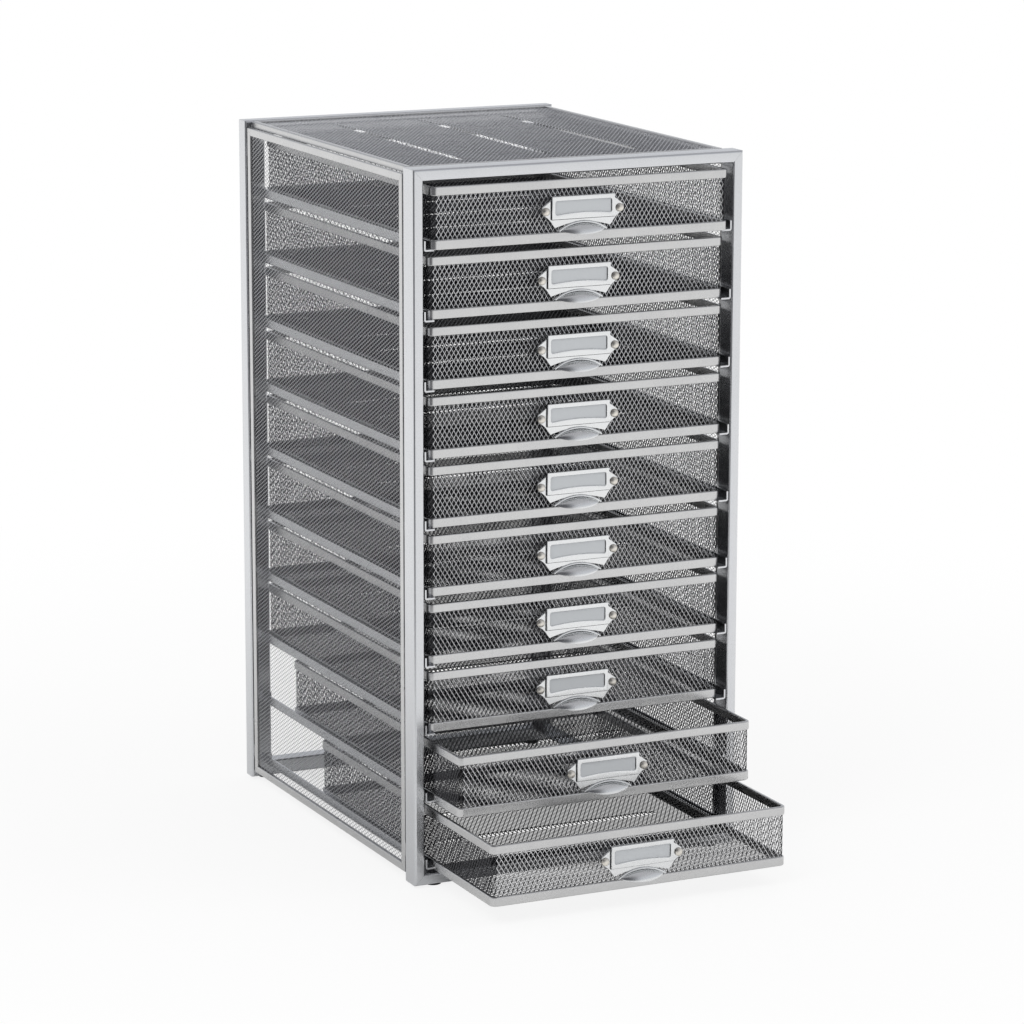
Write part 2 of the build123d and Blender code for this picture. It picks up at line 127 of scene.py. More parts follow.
class Shader:
    """A node tree with one generic way to add a node."""

    def __init__(self, owner: Union[bpy.types.Material, bpy.types.World]) -> None:
        """Empty the node tree of a material or a world and take it over.

        Args:
            owner: The material or world.
        """
        owner.use_nodes = True
        self.tree = owner.node_tree
        self.tree.nodes.clear()

    def node(self, kind: str, sockets: Optional[dict] = None, **settings: object) -> bpy.types.Node:
        """Add a node.

        Args:
            kind: The node's type, without the prefix that all share.
            sockets: Values or links for its inputs, by name or number.
            **settings: Its own settings, set first; stops holds a colour ramp's places and colours.

        Returns:
            The new node.
        """
        made = self.tree.nodes.new(f"ShaderNode{kind}")
        for name, value in settings.items():
            if name == "stops":
                self._set_stops(made, value)
            else:
                setattr(made, name, value)
        for name, value in (sockets or {}).items():
            if isinstance(value, Value):
                value = value.socket
            if isinstance(value, Socket):
                self.tree.links.new(value, made.inputs[name])
            else:
                made.inputs[name].default_value = value
        return made

    @staticmethod
    def _set_stops(ramp: bpy.types.Node, stops: Sequence[tuple]) -> None:
        """Give a colour ramp its stops.

        Args:
            ramp: The ramp node.
            stops: Pairs of place and colour.
        """
        elements = ramp.color_ramp.elements
        while len(elements) > 1:
            elements.remove(elements[-1])
        elements[0].position = stops[0][0]
        elements[0].color = (*stops[0][1], 1.0)
        for place, colour in stops[1:]:
            elements.new(place).color = (*colour, 1.0)

    @staticmethod
    def rgba(colour: Colour) -> Colour:
        """Give a plain colour its alpha; a socket stays as it is."""
        return colour if isinstance(colour, Socket) else (*colour, 1.0)

    def point(self) -> Socket:
        """Return the object coordinates."""
        return self.node("TexCoord").outputs["Object"]

    def vector(self, operation: str, *operands: object) -> bpy.types.Node:
        """Add one Vector Math node.

        Args:
            operation: The node's operation.
            *operands: Its inputs.

        Returns:
            The node.
        """
        return self.node("VectorMath", dict(enumerate(operands)), operation=operation)

    def ray(self, kind: str) -> Value:
        """Return 1 for rays of one kind, else 0."""
        return Value(self, self.node("LightPath").outputs[f"Is {kind} Ray"])

    def noise(self, scale: float, detail: float, roughness: float = 0.5) -> Value:
        """Add a noise field on object coordinates.

        Args:
            scale: Features per metre.
            detail: Octaves.
            roughness: How strong the small octaves are.

        Returns:
            The noise, from 0 to 1.
        """
        sockets = {"Vector": self.point(), "Scale": scale, "Detail": detail, "Roughness": roughness}
        return Value(self, self.node("TexNoise", sockets).outputs["Fac"])

    def blend(self, factor: Number, first: Colour, second: Colour, way: str = "MIX") -> Socket:
        """Combine two colours.

        Args:
            factor: The share of the second colour.
            first: The first colour or its socket.
            second: The second colour or its socket.
            way: The blend type.

        Returns:
            The mixed colour's socket.
        """
        sockets = {"Factor": factor, 6: self.rgba(first), 7: self.rgba(second)}
        return self.node("Mix", sockets, data_type="RGBA", blend_type=way).outputs[2]

    def fade(self, amount: Number, start: tuple, end: tuple) -> Value:
        """Map a value smoothly from one range to another.

        Args:
            amount: The value.
            start: The range that it comes from.
            end: The range that it goes to.

        Returns:
            The mapped value.
        """
        limits = dict(zip(("From Min", "From Max", "To Min", "To Max"), (*start, *end)))
        made = self.node("MapRange", {"Value": amount, **limits}, interpolation_type="SMOOTHSTEP")
        return Value(self, made.outputs[0])

    def bump(self, height: Value, strength: float, distance: float) -> Socket:
        """Turn a height into a normal.

        Args:
            height: The height field.
            strength: The bump's strength.
            distance: The height's depth in metres.

        Returns:
            The normal's socket.
        """
        sockets = {"Height": height, "Strength": strength, "Distance": distance}
        return self.node("Bump", sockets).outputs["Normal"]

    def light(self, kind: str, colour: Colour) -> Socket:
        """Add an even light of one colour.

        Args:
            kind: Emission or Background.
            colour: Its colour.

        Returns:
            The light's socket.
        """
        return self.node(kind, {"Color": self.rgba(colour), "Strength": 1.0}).outputs[0]

    def mix(self, share: Number, first: Socket, second: Socket) -> Socket:
        """Mix two surfaces.

        Args:
            share: The share of the second surface.
            first: The first surface.
            second: The second surface.

        Returns:
            The mixed surface's socket.
        """
        return self.node("MixShader", {0: share, 1: first, 2: second}).outputs[0]


# Finishes


@dataclass(frozen=True)
class SurfaceFinish:
    """A finish that wanders between two colours."""

    name: str
    slot: str
    light: tuple
    dark: tuple
    roughness: float

    def colour(self, shader: Shader, tone: Value) -> Socket:
        """Return the colour that a tone from 0 to 1 gives."""
        return shader.blend(tone, self.dark, self.light)

    def sockets(self, shader: Shader) -> dict:
        """Return the inputs of the surface, which each kind of finish sets in its own way."""
        raise NotImplementedError

    def material(self) -> bpy.types.Material:
        """Build the finish.

        Returns:
            The material.
        """
        made = bpy.data.materials.new(self.name)
        shader = Shader(made)
        surface = shader.node("BsdfPrincipled", self.sockets(shader))
        shader.node("OutputMaterial", {"Surface": surface.outputs[0]})
        return made


@dataclass(frozen=True)
class MetalFinish(SurfaceFinish):
    """A metallic finish with soft clouds of colour and gloss and a fine bump."""

    roughness_spread: float
    cloud_scale: float = 35.0
    cloud_share: float = 0.6
    grain_scale: float = 900.0
    grain_depth: float = 0.02 * MM
    grain_strength: float = 0.12
    coat: float = 0.0
    coat_roughness: float = 0.12

    def sockets(self, shader: Shader) -> dict:
        """Return the inputs of the surface."""
        cloud = shader.noise(self.cloud_scale, 3.0)
        grain = shader.noise(self.grain_scale, 2.0)
        tone = cloud * self.cloud_share + grain * (1 - self.cloud_share)
        smoothest = self.roughness - self.roughness_spread / 2
        return {
            "Base Color": self.colour(shader, tone),
            "Metallic": 1.0,
            "Roughness": cloud * self.roughness_spread + smoothest,
            "Coat Weight": self.coat,
            "Coat Roughness": self.coat_roughness,
            "Normal": shader.bump(grain, self.grain_strength, self.grain_depth),
        }


@dataclass(frozen=True)
class WallFinish(MetalFinish):
    """The lacquer of the drawers' walls, with near-black painted shade on the side and rear walls,
    away from the front.
    """

    # Near-black painted shade for the side and rear walls, standing in for the shade inside the
    # cabinet.
    painted_wall_shade: tuple = (0.09, 0.09, 0.095)
    half_front: float = 113.5 * MM

    def colour(self, shader: Shader, tone: Value) -> Socket:
        """Return the lacquer's colour, with painted shade on the side and rear walls."""
        parts = shader.node("SeparateXYZ", {0: shader.point()}).outputs
        x, y = Value(shader, parts[0]), Value(shader, parts[1])
        # 1 on the front wall; the side and rear walls get the painted shade.
        front = x.size().below(self.half_front) * y.below(0.0)
        return shader.blend(front, self.painted_wall_shade, super().colour(shader, tone))


@dataclass(frozen=True)
class MatteFinish(SurfaceFinish):
    """A matt finish, such as card or rubber, with fibres or fine pitting."""

    grain_scale: float
    grain_depth: float
    grain_roughness: float = 0.65
    grain_strength: float = 0.25
    roughness_spread: float = 0.12

    def sockets(self, shader: Shader) -> dict:
        """Return the inputs of the surface."""
        grain = shader.noise(self.grain_scale, 4.0, self.grain_roughness)
        return {
            "Base Color": self.colour(shader, grain),
            "Roughness": grain * self.roughness_spread + self.roughness,
            "Normal": shader.bump(grain, self.grain_strength, self.grain_depth),
        }


class Finish(Enum):
    """The cabinet's finishes: name, slot, light and dark colour, roughness and its spread."""

    FRAME = MetalFinish(
        "silver_lacquer", "frame_silver", (0.74, 0.75, 0.77), (0.64, 0.65, 0.67),
        0.26, 0.06, coat=0.25,
    )
    RIM = MetalFinish(
        "rim_lacquer", "rim_silver", (0.72, 0.72, 0.71), (0.52, 0.52, 0.53), 0.27, 0.06, coat=0.25
    )
    TOP_MESH = MetalFinish(
        "top_mesh_lacquer", "mesh_silver", (0.92, 0.92, 0.94), (0.80, 0.81, 0.83), 0.28, 0.10
    )
    WALL_MESH = WallFinish(
        "wall_mesh_lacquer", "mesh_silver", (0.94, 0.94, 0.94), (0.84, 0.84, 0.85), 0.22, 0.08
    )
    # A darker copy of the same mesh silver: painted shade on the side panels' strands.
    SHADED_SIDE_MESH = MetalFinish(
        "side_mesh_shaded_lacquer", "mesh_silver", (0.50, 0.50, 0.51), (0.36, 0.37, 0.39), 0.30, 0.10
    )
    # A near-black copy of the same mesh silver: painted shade on the drawers' floors.
    SHADED_FLOOR_MESH = MetalFinish(
        "floor_mesh_shaded_lacquer", "mesh_silver", (0.08, 0.08, 0.085), (0.05, 0.05, 0.055), 0.36, 0.10
    )
    # A near-black copy of the pull's steel: painted shade for the shadow lines under the card
    # frame, round the rivets and beside the card.
    SHADE_SEAM = MetalFinish(
        "painted_shade_seam", "pull_steel", (0.05, 0.05, 0.055), (0.03, 0.03, 0.035), 0.55, 0.10
    )
    PULL = MetalFinish(
        "satin_nickel", "pull_steel", (0.86, 0.87, 0.87), (0.78, 0.79, 0.80), 0.27, 0.08, 120.0
    )
    RIVET = MetalFinish(
        "warm_nickel", "rivet_steel", (0.90, 0.87, 0.80), (0.80, 0.76, 0.69), 0.42, 0.06, 200.0
    )
    CARD = MatteFinish(
        "label_card", "card_paper", (0.57, 0.59, 0.61), (0.52, 0.54, 0.56), 0.55, 1400.0, 0.04 * MM
    )
    RUBBER = MatteFinish(
        "pitted_rubber", "foot_rubber", (0.030, 0.030, 0.032), (0.016, 0.016, 0.018),
        0.7, 900.0, 0.1 * MM,
    )


class Shading(Enum):
    """How a piece's facets meet."""

    FLAT = "flat"
    ROUNDED = "rounded"


# Mesh building


def shift(x: float, y: float, z: float) -> Matrix:
    """Return a translation."""
    return Matrix.Translation((x, y, z))


def basis(origin: Sequence[float], x_axis: Sequence[float], z_axis: Sequence[float]) -> Matrix:
    """Return a right-handed frame.

    Args:
        origin: Where its origin lies.
        x_axis: The direction of its X.
        z_axis: The direction of its Z, square to X.

    Returns:
        The matrix from the frame to the cabinet.
    """
    x, z = Vector(x_axis), Vector(z_axis)
    columns = Matrix((x, z.cross(x), z)).transposed().to_4x4()
    return Matrix.Translation(Vector(origin)) @ columns


def facing(x: float, y: float, z: float) -> Matrix:
    """Return a frame at a point whose Z faces forwards."""
    return basis((x, y, z), (1, 0, 0), (0, -1, 0))


class Shape:
    """A mesh under construction."""

    def __init__(self) -> None:
        """Start empty."""
        self.mesh = bmesh.new()

    def box(self, size: Sequence[float], place: Matrix) -> list:
        """Add a box.

        Args:
            size: Its three sizes.
            place: Where its middle goes.

        Returns:
            Its vertices.
        """
        matrix = place @ Matrix.Diagonal((*size, 1.0))
        return bmesh.ops.create_cube(self.mesh, size=1.0, matrix=matrix)["verts"]

    def rectangle(self, width: float, height: float) -> None:
        """Add a flat rectangle round the origin."""
        size = Matrix.Diagonal((width, height, 1, 1))
        bmesh.ops.create_grid(self.mesh, x_segments=1, y_segments=1, size=0.5, matrix=size)

    def disc(self, radius: float, height: float, segments: int) -> None:
        """Add a round disc about the origin.

        Args:
            radius: Its radius.
            height: Its height along Z.
            segments: Its sides.
        """
        bmesh.ops.create_cone(
            self.mesh, cap_ends=True, segments=segments,
            radius1=radius, radius2=radius, depth=height,
        )

    def bevel(
        self, items: Iterable, radius: float, segments: int = 3, affect: str = "EDGES"
    ) -> None:
        """Round some edges or corners.

        Args:
            items: The edges, or the vertices of a flat shape's corners.
            radius: The rounding's radius.
            segments: The facets across it.
            affect: EDGES or VERTICES.
        """
        bmesh.ops.bevel(
            self.mesh, geom=list(items), offset=radius, offset_type="OFFSET", segments=segments,
            profile=0.5, affect=affect, clamp_overlap=True, material=-1,
        )

    def edges_along(self, axis: int, among: Iterable = ()) -> list:
        """Return the straight edges that run along one axis.

        Args:
            axis: 0, 1 or 2.
            among: The vertices to look at, or none for all.

        Returns:
            The edges.
        """
        wanted = set(among)
        found = []
        for edge in self.mesh.edges:
            run = edge.verts[1].co - edge.verts[0].co
            whole = not wanted or (edge.verts[0] in wanted and edge.verts[1] in wanted)
            if whole and abs(run[axis]) > 0.999 * run.length:
                found.append(edge)
        return found

    def level_edges(self) -> list:
        """Return the edges that lie level."""
        level = 1e-7
        return [e for e in self.mesh.edges if abs(e.verts[0].co.z - e.verts[1].co.z) < level]

    def everything(self) -> list:
        """Return all vertices, edges and faces."""
        return [*self.mesh.verts, *self.mesh.edges, *self.mesh.faces]

    def close(self) -> None:
        """Fill every open edge loop with a face."""
        open_edges = [edge for edge in self.mesh.edges if edge.is_boundary]
        bmesh.ops.holes_fill(self.mesh, edges=open_edges, sides=0)

    def trim(self, point: Sequence[float], normal: Sequence[float]) -> None:
        """Cut away what lies beyond a plane and close the cut.

        Args:
            point: A point on the plane.
            normal: The direction that is cut away.
        """
        bmesh.ops.bisect_plane(
            self.mesh, geom=self.everything(), plane_co=point, plane_no=normal, clear_outer=True
        )
        self.close()

    def score(self, point: Sequence[float], normal: Sequence[float]) -> None:
        """Add an edge loop where a plane crosses the mesh.

        Args:
            point: A point on the plane.
            normal: The plane's normal.
        """
        bmesh.ops.bisect_plane(self.mesh, geom=self.everything(), plane_co=point, plane_no=normal)

    def extrude(self, offset: Sequence[float], edges: Sequence = ()) -> None:
        """Pull out the given edges, or else every face.

        Args:
            offset: How far they go.
            edges: The edges.
        """
        if edges:
            pulled = bmesh.ops.extrude_edge_only(self.mesh, edges=edges)["geom"]
        else:
            pulled = bmesh.ops.extrude_face_region(self.mesh, geom=self.mesh.faces[:])["geom"]
        moved = [item for item in pulled if isinstance(item, bmesh.types.BMVert)]
        bmesh.ops.translate(self.mesh, verts=moved, vec=offset)

    def move(self, matrix: Matrix) -> "Shape":
        """Transform every vertex and return the shape."""
        bmesh.ops.transform(self.mesh, matrix=matrix, verts=self.mesh.verts)
        return self

    def add(self, other: "Shape", *places: Matrix) -> None:
        """Join copies of another shape, and free it.

        Args:
            other: The shape to copy in.
            *places: Where the copies go; one where it stands if none is given.
        """
        for matrix in places or (Matrix(),):
            carrier = bpy.data.meshes.new("carrier")
            other.mesh.to_mesh(carrier)
            carrier.transform(matrix)
            if matrix.determinant() < 0:
                carrier.flip_normals()
            self.mesh.from_mesh(carrier)
            bpy.data.meshes.remove(carrier)
        other.mesh.free()

    def weld(self) -> None:
        """Join vertices that lie in one place."""
        bmesh.ops.remove_doubles(self.mesh, verts=self.mesh.verts, dist=WELD_GAP)

    def thicken(self, thickness: float) -> "Shape":
        """Give an open sheet a wall and return the shape."""
        self.outward()
        bmesh.ops.solidify(self.mesh, geom=self.mesh.faces[:], thickness=thickness)
        return self.outward()

    def outward(self) -> "Shape":
        """Turn every face outwards and return the shape."""
        bmesh.ops.recalc_face_normals(self.mesh, faces=self.mesh.faces)
        return self

    def finished(self, name: str) -> bpy.types.Mesh:
        """Turn the shape into mesh data.

        Args:
            name: The mesh's name.

        Returns:
            The mesh.
        """
        made = bpy.data.meshes.new(name)
        self.mesh.to_mesh(made)
        self.mesh.free()
        return made


@dataclass
class Dresser:
    """Puts finished meshes in the scene in place of the frame's nodes."""

    materials: dict = field(default_factory=dict)

    def material(self, finish: Finish) -> bpy.types.Material:
        """Return a finish's material, built the first time."""
        if finish not in self.materials:
            self.materials[finish] = finish.value.material()
        return self.materials[finish]

    def piece(
        self, name: str, mesh: bpy.types.Mesh, finish: Finish,
        body: str, node: str, shading: Shading,
    ) -> None:
        """Add one piece.

        Args:
            name: The piece's name.
            mesh: Its mesh, already in its place.
            finish: Its finish.
            body: The body that it rides on.
            node: The node that it stands for.
            shading: How its facets meet.
        """
        mesh.materials.clear()
        mesh.materials.append(self.material(finish))
        made = bpy.data.objects.new(name, mesh)
        bpy.context.scene.collection.objects.link(made)
        if shading is Shading.ROUNDED:
            mesh.shade_smooth()
            mesh.set_sharp_from_angle(angle=SMOOTH_ANGLE)
            made.modifiers.new("weighted_normals", "WEIGHTED_NORMAL").keep_sharp = True
        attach(made, body)
        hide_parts(node)
        log.info("%s: %d faces on %s", name, len(mesh.polygons), body)


@dataclass(frozen=True)
class Lattice:
    """Expanded sheet: two families of slanted strands that cross in diamonds."""

    diamond_width: float
    diamond_height: float
    strand_width: float = 0.46 * MM
    strand_depth: float = 0.28 * MM
    tilt: float = math.radians(28)
    layer_gap: float = 0.02 * MM

    def sheet(self, width: float, height: float) -> Shape:
        """Build a flat lattice in the XY plane, trimmed to a rectangle.

        Args:
            width: Its size along X, from X = 0.
            height: Its size along Y, from Y = 0.

        Returns:
            The lattice.
        """
        shape = Shape()
        run = Vector((self.diamond_width, self.diamond_height))
        rows = height / run.y + 1
        steps = math.ceil(width / run.x)
        spread = math.ceil(rows / 2)
        size = (rows * run.length, self.strand_width, self.strand_depth)
        for lean in (-1, 1):
            slant = Matrix.Rotation(math.atan2(run.y, lean * run.x), 4, "Z")
            tilt = self.tilt * (lean if run.x > run.y else 1)
            turn = slant @ Matrix.Rotation(tilt, 4, "X")
            for step in range(-spread, steps + spread + 1):
                shape.box(size, shift(step * run.x, height / 2, lean * self.layer_gap) @ turn)
        shape.trim((0, 0, 0), (-1, 0, 0))
        shape.trim((width, 0, 0), (1, 0, 0))
        shape.trim((0, 0, 0), (0, -1, 0))
        shape.trim((0, height, 0), (0, 1, 0))
        return shape


@dataclass(frozen=True)
class Bead:
    """A pressed bead along X in a sheet in the XY plane."""

    across: float
    half_length: float
    half_width: float = 3.0 * MM
    shoulder: float = 0.6
    rise: float = 1.2 * MM
    taper: float = 9.0 * MM

    def press(self, shape: Shape) -> None:
        """Raise the bead in a sheet."""
        crest = 1 - self.shoulder
        for offset in (-1, -crest, crest, 1):
            shape.score((0, self.across + offset * self.half_width, 0), (0, 1, 0))
        for vert in shape.mesh.verts:
            off = abs(vert.co.y - self.across) / self.half_width
            past = (abs(vert.co.x) - self.half_length) / self.taper
            share = min(1.0, max(0.0, (1 - off) / self.shoulder)) * min(1.0, max(0.0, -past))
            vert.co.z += self.rise * share


@dataclass(frozen=True)
class RoundedLoop:
    """A rectangle with rounded corners, followed anticlockwise from the middle of its rear side."""

    width: float
    depth: float
    radius: float
    steps: int = 4

    def sections(self) -> list:
        """Return the loop's parts as pairs of length and turn."""
        half = (self.width / 2 - self.radius, 0.0)
        side = (self.depth - 2 * self.radius, 0.0)
        front = (2 * half[0], 0.0)
        corner = (self.radius * math.pi / 2, math.pi / 2)
        return [half, corner, side, corner, front, corner, side, corner, half]

    def length(self) -> float:
        """Return the loop's length."""
        return sum(length for length, _ in self.sections())

    def cuts(self) -> list:
        """Return the places along the loop where a straight strip has to bend."""
        found, start = [], 0.0
        for length, turn in self.sections():
            if turn:
                found += [start + length * step / self.steps for step in range(self.steps + 1)]
            start += length
        return found

    def place(self, along: float, out: float) -> tuple:
        """Return the point at a distance along the loop and outwards from it.

        Args:
            along: The distance along the loop.
            out: The distance outwards.

        Returns:
            X and Y.
        """
        point = Vector((0.0, self.depth / 2))
        heading = math.pi
        left = along
        sections = self.sections()
        for index, (length, turn) in enumerate(sections):
            share = left if left <= length or index == len(sections) - 1 else length
            if turn:
                angle = share / self.radius
                centre = point + self.radius * Vector((-math.sin(heading), math.cos(heading)))
                heading += angle
                point = centre + self.radius * Vector((math.sin(heading), -math.cos(heading)))
            else:
                point = point + share * Vector((math.cos(heading), math.sin(heading)))
            left -= share
            if left <= 1e-9:
                break
        point = point + out * Vector((math.sin(heading), -math.cos(heading)))
        return point.x, point.y

    def wrap(self, shape: Shape) -> Shape:
        """Bend a straight strip round the loop.

        Args:
            shape: A strip along X whose Y is its height and Z its way out.

        Returns:
            The same shape, bent.
        """
        for along in self.cuts():
            shape.score((along, 0, 0), (1, 0, 0))
        for vert in shape.mesh.verts:
            x, y = self.place(vert.co.x, vert.co.z)
            vert.co = (x, y, vert.co.y)
        return shape


def mitred_bars(
    width: float, height: float, depth: float, post: float, rail: float, radius: float
) -> Shape:
    """Build four bars round a rectangle in the XZ plane, mitred and with rounded long edges.

    Args:
        width: The rectangle's outer width.
        height: Its outer height.
        depth: The bars' size along Y.
        post: The width of the upright bars.
        rail: The height of the level bars.
        radius: The long edges' radius.

    Returns:
        The four bars.
    """
    seam = 0.06 * MM
    stand_up = Matrix.Rotation(-math.pi / 2, 4, "Y") @ Matrix.Scale(-1, 4, (1, 0, 0))
    whole = Shape()
    for side in (-1, 1):
        for upright in (False, True):
            band, other = (post, rail) if upright else (rail, post)
            length, span = (height, width) if upright else (width, height)
            bar = Shape()
            verts = bar.box((length, depth, band), shift(0, 0, side * (span - band) / 2))
            bar.bevel(bar.edges_along(0, verts), radius)
            for end in (-1, 1):
                corner = Vector((end * (length / 2 - seam), 0, (span / 2) * side))
                bar.trim(corner, Vector((end * band, 0, -side * other)).normalized())
            if upright:
                bar.move(stand_up).outward()
            whole.add(bar)
    return whole


# The cabinet


@dataclass
class TubeFrame:
    """An upright frame of four mitred tubes."""

    node: str
    post: float
    rail: float
    edge_radius: float = 1.5 * MM

    def dress(self, dresser: Dresser) -> None:
        """Add the frame to the scene."""
        low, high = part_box(self.node)
        size, middle = high - low, (low + high) / 2
        bars = mitred_bars(size.x, size.z, size.y, self.post, self.rail, self.edge_radius)
        mesh = bars.move(Matrix.Translation(middle)).finished(self.node)
        name = f"{self.node}_tubes"
        dresser.piece(name, mesh, Finish.FRAME, "cabinet", self.node, Shading.ROUNDED)


@dataclass
class FramedPanel:
    """A panel of expanded sheet in four edging strips, tabbed to the frames at both ends."""

    name: str
    lattice: Lattice
    outwards: tuple
    mesh_finish: Finish = Finish.SHADED_SIDE_MESH
    edging_width: float = 5.8 * MM
    edging_thickness: float = 3.0 * MM
    edge_radius: float = 0.6 * MM
    lip_height: float = 0.0
    lip_thickness: float = 1.2 * MM
    tab_length: float = 10 * MM
    tab_thickness: float = 1.5 * MM
    tab_end_gap: float = 12 * MM
    tab_edge_radius: float = 0.3 * MM
    front_gap: float = 3.4 * MM
    rear_gap: float = 2.2 * MM
    beads: tuple = ()

    def corners(self) -> tuple:
        """Return the lowest and highest corner of the edging without its tabs."""
        low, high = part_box(f"{self.name}_edging")
        low.y += self.front_gap
        high.y -= self.rear_gap
        return low, high

    def place(self) -> Matrix:
        """Return the panel's own frame: X to the back, Y across it and Z outwards."""
        low, high = self.corners()
        return basis((low + high) / 2, (0, 1, 0), self.outwards)

    def sizes(self) -> tuple:
        """Return the panel's length and height in its own frame."""
        low, high = self.corners()
        size = high - low
        return size.y, size.z if abs(self.outwards[0]) else size.x

    def tab(self, start: float, end: float, level: float) -> Shape:
        """Build one tab.

        Args:
            start: Where it begins along the panel.
            end: Where it ends.
            level: Its place across the panel.

        Returns:
            The tab.
        """
        tab = Shape()
        spare = 1 * MM
        size = (end - start + spare, self.tab_length, self.tab_thickness)
        tab.box(size, shift((start + end) / 2, level, 0))
        tab.trim((start, 0, 0), (-1, 0, 0))
        tab.trim((end, 0, 0), (1, 0, 0))
        tab.bevel(tab.edges_along(0), self.tab_edge_radius, 2)
        return tab

    def edging(self) -> bpy.types.Mesh:
        """Build the edging strips and their tabs.

        Returns:
            The mesh.
        """
        length, height = self.sizes()
        band, depth = self.edging_width, self.edging_thickness
        strips = mitred_bars(length, height, depth, band, band, self.edge_radius)
        strips.move(Matrix.Rotation(-math.pi / 2, 4, "X"))
        if self.lip_height:
            drop = depth / 2 - self.edge_radius - self.lip_height / 2
            for side in (-1, 1):
                middle = shift(0, side * (height + self.lip_thickness) / 2, drop)
                verts = strips.box((length, self.lip_thickness, self.lip_height), middle)
                strips.bevel(strips.edges_along(0, verts), self.lip_thickness / 3, 2)
        reach = height / 2 - self.tab_end_gap - self.tab_length / 2
        half = length / 2
        for level in (-reach, 0, reach):
            strips.add(self.tab(-half - self.front_gap, -half, level))
            strips.add(self.tab(half, half + self.rear_gap, level))
        return strips.move(self.place()).finished(f"{self.name}_edging")

    def sheet(self) -> bpy.types.Mesh:
        """Build the lattice, with its beads.

        Returns:
            The mesh.
        """
        length, height = self.sizes()
        width, rise = length - self.edging_width, height - self.edging_width
        shape = self.lattice.sheet(width, rise)
        shape.move(shift(-width / 2, -rise / 2, 0))
        for bead in self.beads:
            bead.press(shape)
        return shape.move(self.place()).finished(f"{self.name}_mesh")

    def dress(self, dresser: Dresser) -> None:
        """Add the panel to the scene."""
        edging, mesh = f"{self.name}_edging", f"{self.name}_mesh"
        strips, lattice = self.edging(), self.sheet()
        dresser.piece(f"{edging}_strips", strips, Finish.RIM, "cabinet", edging, Shading.ROUNDED)
        dresser.piece(f"{mesh}_lattice", lattice, self.mesh_finish, "cabinet", mesh, Shading.FLAT)


@dataclass
class Runners:
    """The L-shaped runners under the drawers."""

    thickness: float = 1.2 * MM
    flange_height: float = 8.0 * MM
    bearing_width: float = 3.4 * MM
    bend_radius: float = 1.6 * MM
    stop_height: float = 6.0 * MM
    stop_edge_radius: float = 0.8 * MM
    pitch: float = 50.0 * MM

    def rail(self, low: Vector, high: Vector, leg: float) -> Shape:
        """Build the lowest right-hand runner.

        Args:
            low: The lowest corner of all runners.
            high: The highest corner of all runners.
            leg: The length of the runner's leg.

        Returns:
            The runner.
        """
        shape = Shape()
        half = self.thickness / 2
        corners = [
            (high.x - half, low.y, low.z + self.flange_height),
            (high.x - half, low.y, low.z + half),
            (high.x - leg, low.y, low.z + half),
        ]
        verts = [shape.mesh.verts.new(corner) for corner in corners]
        edges = [shape.mesh.edges.new(pair) for pair in zip(verts, verts[1:])]
        shape.extrude((0, high.y - low.y, 0), edges)
        bend = [edge for edge in shape.edges_along(1) if len(edge.link_faces) == 2]
        shape.bevel(bend, self.bend_radius, 4)
        shape.thicken(self.thickness)
        stop = Shape()
        rise = low.z + self.thickness + self.stop_height / 2
        size = (leg - self.thickness, self.thickness, self.stop_height)
        stop.box(size, shift(high.x - leg / 2 - half, high.y - half, rise))
        stop.bevel(stop.edges_along(1), self.stop_edge_radius)
        shape.add(stop)
        return shape

    def dress(self, dresser: Dresser) -> None:
        """Add a pair of runners for every drawer to the scene."""
        low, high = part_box("runners")
        leg = high.x - (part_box("drawer_02_rims")[1].x - self.bearing_width)
        lifts = [shift(0, 0, level * self.pitch) for level in range(DRAWER_COUNT)]
        sides = (Matrix(), Matrix.Scale(-1, 4, (1, 0, 0)))
        whole = Shape()
        whole.add(self.rail(low, high, leg), *(lift @ side for lift in lifts for side in sides))
        mesh = whole.finished("runners")
        dresser.piece("runner_rails", mesh, Finish.FRAME, "cabinet", "runners", Shading.ROUNDED)


@dataclass
class RubberFeet:
    """The four round feet."""

    radius: float = 6.0 * MM
    edge_radius: float = 0.5 * MM
    front_inset: float = 18.0 * MM
    rear_inset: float = 14.0 * MM

    def dress(self, dresser: Dresser) -> None:
        """Add the feet to the scene."""
        low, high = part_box("rubber_feet")
        half_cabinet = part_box("front_frame")[1].x
        height = high.z - low.z
        rows = ((low.y + self.radius, self.front_inset), (high.y - self.radius, self.rear_inset))
        whole = Shape()
        for y, inset in rows:
            for side in (-1, 1):
                foot = Shape()
                foot.disc(self.radius, height, 40)
                foot.bevel(foot.level_edges(), self.edge_radius)
                whole.add(foot, shift(side * (half_cabinet - inset), y, low.z + height / 2))
        mesh = whole.finished("rubber_feet")
        dresser.piece("foot_pads", mesh, Finish.RUBBER, "cabinet", "rubber_feet", Shading.ROUNDED)


# The drawers


